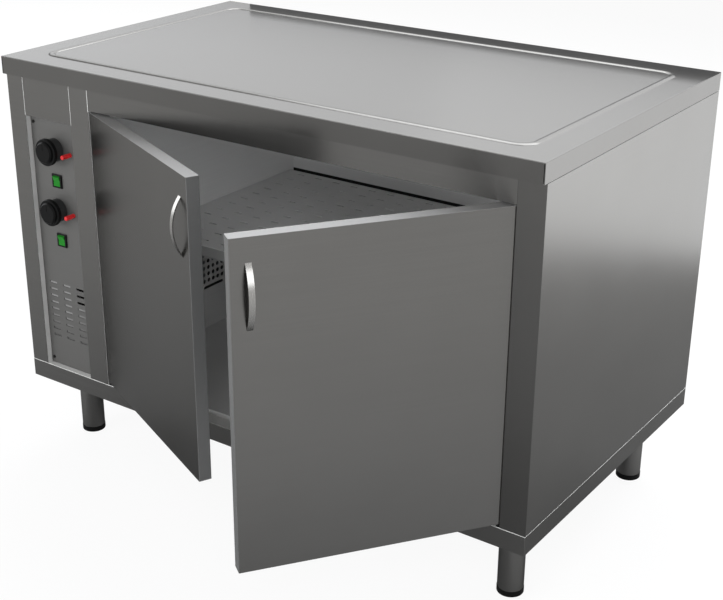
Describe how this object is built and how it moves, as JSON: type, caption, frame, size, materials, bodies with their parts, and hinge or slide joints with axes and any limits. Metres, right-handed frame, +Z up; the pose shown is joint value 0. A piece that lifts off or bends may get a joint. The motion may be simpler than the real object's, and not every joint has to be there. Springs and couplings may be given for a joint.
{
  "type": "plate warmer cabinet",
  "caption": "Stainless steel heated cabinet with a heated worktop, hinged doors ajar on a slotted shelf, and a side panel of knobs, switches and lamps.",
  "frame": {"origin": "on the floor, in the middle of the outline with both doors ajar", "axes": "+X to the right and +Y to the back as seen from the front, +Z up"},
  "size_m": [1.2, 1.061, 0.852],
  "materials": {
    "steel": "fine polished stainless steel",
    "door_steel": "fine polished stainless steel",
    "lining": "bright stainless steel",
    "legs": "satin stainless steel tube",
    "handles": "polished",
    "fixings": "bright",
    "galvanised": "galvanised steel",
    "wool": "mineral wool slab",
    "element": "sheathed heating tube",
    "black_plastic": "moulded",
    "red_lens": "clear red",
    "green_rocker": "clear green"
  },
  "bodies": {
    "cabinet": {"worktop": "steel", "worktop_rails": "galvanised", "left_side_panel": "steel", "right_side_panel": "steel", "back_panel": "steel", "divider_stile": "steel", "base_tray": "steel", "top_rail": "steel", "filler_plate": "steel", "control_panel": "steel", "dust_screen": "galvanised", "panel_screws": "fixings", "partition": "lining", "inner_right_wall": "lining", "inner_back_wall": "lining", "inner_floor": "lining", "inner_ceiling": "lining", "shelf_supports": "lining", "floor_insulation": "wool", "side_insulation": "wool", "back_insulation": "wool", "top_insulation": "wool", "worktop_heater": "element", "heater_straps": "galvanised", "heater_cover": "galvanised", "chamber_heater": "element", "upper_thermostat": "black_plastic", "lower_thermostat": "black_plastic", "upper_lamp": "red_lens", "lower_lamp": "red_lens", "upper_switch_housing": "black_plastic", "lower_switch_housing": "black_plastic", "terminal_block": "black_plastic", "cable_gland": "black_plastic", "hinge_bushes": "galvanised", "hinge_washers": "black_plastic", "magnetic_catches": "black_plastic", "front_left_leg": "legs", "front_right_leg": "legs", "back_left_leg": "legs", "back_right_leg": "legs"},
    "left_door": {"left_door_skin": "door_steel", "left_door_liner": "lining", "left_door_insulation": "wool", "left_door_handle": "handles", "left_door_pins": "fixings"},
    "right_door": {"right_door_skin": "door_steel", "right_door_liner": "lining", "right_door_insulation": "wool", "right_door_handle": "handles", "right_door_pins": "fixings"},
    "shelf": {"shelf": "lining"},
    "upper_knob": {"upper_knob": "black_plastic"},
    "lower_knob": {"lower_knob": "black_plastic"},
    "upper_rocker": {"upper_rocker": "green_rocker"},
    "lower_rocker": {"lower_rocker": "green_rocker"},
    "front_left_foot": {"front_left_foot": "black_plastic"},
    "front_right_foot": {"front_right_foot": "black_plastic"},
    "back_left_foot": {"back_left_foot": "black_plastic"},
    "back_right_foot": {"back_right_foot": "black_plastic"}
  },
  "joints": [
    {"name": "left_door_hinge", "type": "hinge", "parent": "cabinet", "child": "left_door", "pos_m": [-0.3731, -0.15583, 0.48], "axis": [0, 0, -1], "range_deg": [-24.9, 75.1]},
    {"name": "right_door_hinge", "type": "hinge", "parent": "cabinet", "child": "right_door", "pos_m": [0.5451, -0.15583, 0.48], "axis": [0, 0, 1], "range_deg": [-54.45, 45.55]},
    {"name": "shelf_lift", "type": "slide", "parent": "cabinet", "child": "shelf", "axis": [0, 0, 1], "range_m": [0, 0.04]},
    {"name": "upper_knob_turn", "type": "hinge", "parent": "cabinet", "child": "upper_knob", "pos_m": [-0.4917, -0.14753, 0.672], "axis": [0, 1, 0], "range_deg": [0, 270]},
    {"name": "lower_knob_turn", "type": "hinge", "parent": "cabinet", "child": "lower_knob", "pos_m": [-0.4947, -0.14753, 0.545], "axis": [0, 1, 0], "range_deg": [0, 270]},
    {"name": "upper_rocker_tilt", "type": "hinge", "parent": "cabinet", "child": "upper_rocker", "pos_m": [-0.4917, -0.14703, 0.6065], "axis": [-1, 0, 0], "range_deg": [0, 16]},
    {"name": "lower_rocker_tilt", "type": "hinge", "parent": "cabinet", "child": "lower_rocker", "pos_m": [-0.4917, -0.14703, 0.4795], "axis": [-1, 0, 0], "range_deg": [0, 16]},
    {"name": "front_left_foot_screw", "type": "slide", "parent": "cabinet", "child": "front_left_foot", "axis": [0, 0, -1], "range_m": [0, 0.025]},
    {"name": "front_right_foot_screw", "type": "slide", "parent": "cabinet", "child": "front_right_foot", "axis": [0, 0, -1], "range_m": [0, 0.025]},
    {"name": "back_left_foot_screw", "type": "slide", "parent": "cabinet", "child": "back_left_foot", "axis": [0, 0, -1], "range_m": [0, 0.025]},
    {"name": "back_right_foot_screw", "type": "slide", "parent": "cabinet", "child": "back_right_foot", "axis": [0, 0, -1], "range_m": [0, 0.025]}
  ]
}
